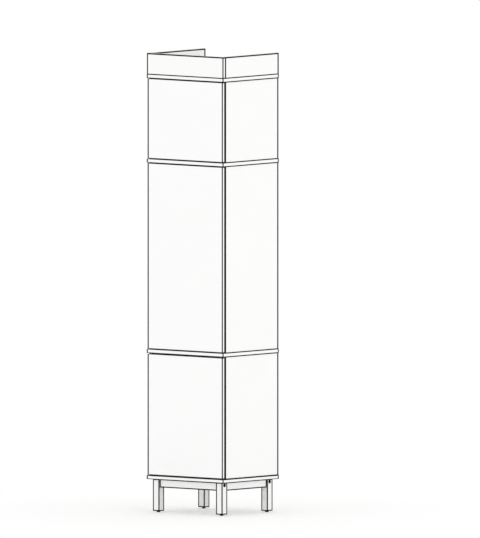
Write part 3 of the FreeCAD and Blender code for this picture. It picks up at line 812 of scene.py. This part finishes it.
def pinEnd(top):
    return [(pivot["pin"], top - pivot["tipLength"]), (pivot["tip"], top), (0, top)]


makePivots()
print("door pivots: 6")


# Push latches: a ribbed housing on a screwed base, a grey plunger with a magnet, and a strike disc

latch = {
    "housing": [(0, 62), (4.6, 62), (5.4, 61.5), (5.9, 60.4), (6, 59), (6, 46), (5.6, 45.6),
                (5.6, 44.4), (6, 44), (6, 42), (5.6, 41.6), (5.6, 40.4), (6, 40), (6, 7),
                (5.6, 6.6), (5.6, 5.4), (6, 5), (6, 0.8), (5.7, 0.2), (5.2, 0), (3.4, 0),
                (3.1, 0.4), (3.1, 59), (0, 59)],
    "plunger": [(0, 0.3), (2.7, 0.3), (2.8, 0.02), (3.4, 0), (4.1, 0.3), (4.45, 1.0), (4.5, 1.4),
                (4.5, 4.4), (4.3, 4.8), (3.9, 5.0), (3.0, 5.0), (3.0, 38.4), (2.6, 39), (0, 39)],
    "sides": 36,
    "magnet": [(0, 0.4), (2.65, 0.4), (2.65, 0.12), (2.5, 0.05), (0, 0.05)],
    "magnetSides": 32,
    "strike": [(0, 0.03), (7.7, 0.03), (8, 0.3), (8, 0.7), (7.7, 1.0), (4.0, 1.0), (3.6, 0.7),
               (3.4, 0.9), (2.0, 0.98), (1.85, 0.95, cross), (1.6, 0.3, cross), (0, 0.28)],
    "strikeSides": 48,
    "behindTip": 9.3 * mm,  # from the plunger's front to the housing's front
    "baseFromFront": (16 * mm, 46 * mm),
    "baseHalf": 23 * mm, "baseThick": 2.5 * mm, "baseEase": 0.9 * mm,
    "saddleHalf": 3.5 * mm, "saddleEase": 0.6 * mm,
    "saddleReach": (4 * mm, 1 * mm),  # starts this far from the rod's axis, ends this far inside
    "screws": 16 * mm,  # above and below the plunger
}


def makeLatches():
    housings, screws = bmesh.new(), bmesh.new()
    half, thick, saddle = latch["baseHalf"], latch["baseThick"], latch["saddleHalf"]
    near, far = latch["saddleReach"]
    for compartment in compartments:
        low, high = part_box("latch_plunger_" + compartment)
        x, z = (low.x + high.x) / 2, (low.z + high.z) / 2
        face = innerFace(compartment, "right")
        front = low.y + latch["behindTip"]
        addTurned(housings, latch["housing"], aimed((x, front, z), backwards), latch["sides"])
        start, end = (front + reach for reach in latch["baseFromFront"])
        addBlock(housings, (face - thick, start, z - half), (face, end, z + half),
                 latch["baseEase"])
        addBlock(housings, (x + near, start, z - saddle), (face - far, end, z + saddle),
                 latch["saddleEase"])
        for step in (-1, 1):
            spot = (face - thick, (start + end) / 2, z + step * latch["screws"])
            addTurned(screws, screwHead["pan"], aimed(spot, (-1, 0, 0)), screwHead["sides"])
        body = "plunger_" + compartment
        tip = aimed((x, low.y, z), backwards)
        makeTurnedPiece(latch["plunger"], tip, latch["sides"], "plunger_rod_" + compartment, body,
                        "grey_plastic", "latch_plunger_" + compartment)
        makeTurnedPiece(latch["magnet"], tip, latch["magnetSides"],
                        "plunger_magnet_" + compartment, body, "zinc_steel")
        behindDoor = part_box("strike_plate_" + compartment)[0].y
        makeTurnedPiece(latch["strike"], aimed((x, behindDoor, z), backwards),
                        latch["strikeSides"], "strike_disc_" + compartment,
                        "door_" + compartment, "zinc_steel", "strike_plate_" + compartment)
    makePiece(housings, "latch_bodies", "carcass", "white_plastic", "latch_housings")
    makePiece(screws, "latch_screw_heads", "carcass", "zinc_steel")


makeLatches()
print("push latches: 3")


# Wall brackets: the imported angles, with pan-head screws into the top board

bracketScrews = {
    "halfWidth": 20 * mm,  # of each angle
    "spacing": 11 * mm,  # each side of the angle's middle
    "forward": 26 * mm,  # from the wall
    "leaf": 2.5 * mm,
}


def makeBracketScrews():
    low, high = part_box("wall_brackets")
    screws = bmesh.new()
    middle = (high.x - low.x) / 2 - bracketScrews["halfWidth"]
    for hand in hands.values():
        for step in (-1, 1):
            x = (low.x + high.x) / 2 + hand * middle + step * bracketScrews["spacing"]
            spot = (x, high.y - bracketScrews["forward"], low.z + bracketScrews["leaf"])
            addTurned(screws, screwHead["pan"], aimed(spot, up), screwHead["sides"])
    makePiece(screws, "bracket_screw_heads", "carcass", "zinc_steel")


makeBracketScrews()
print("wall brackets: 2")
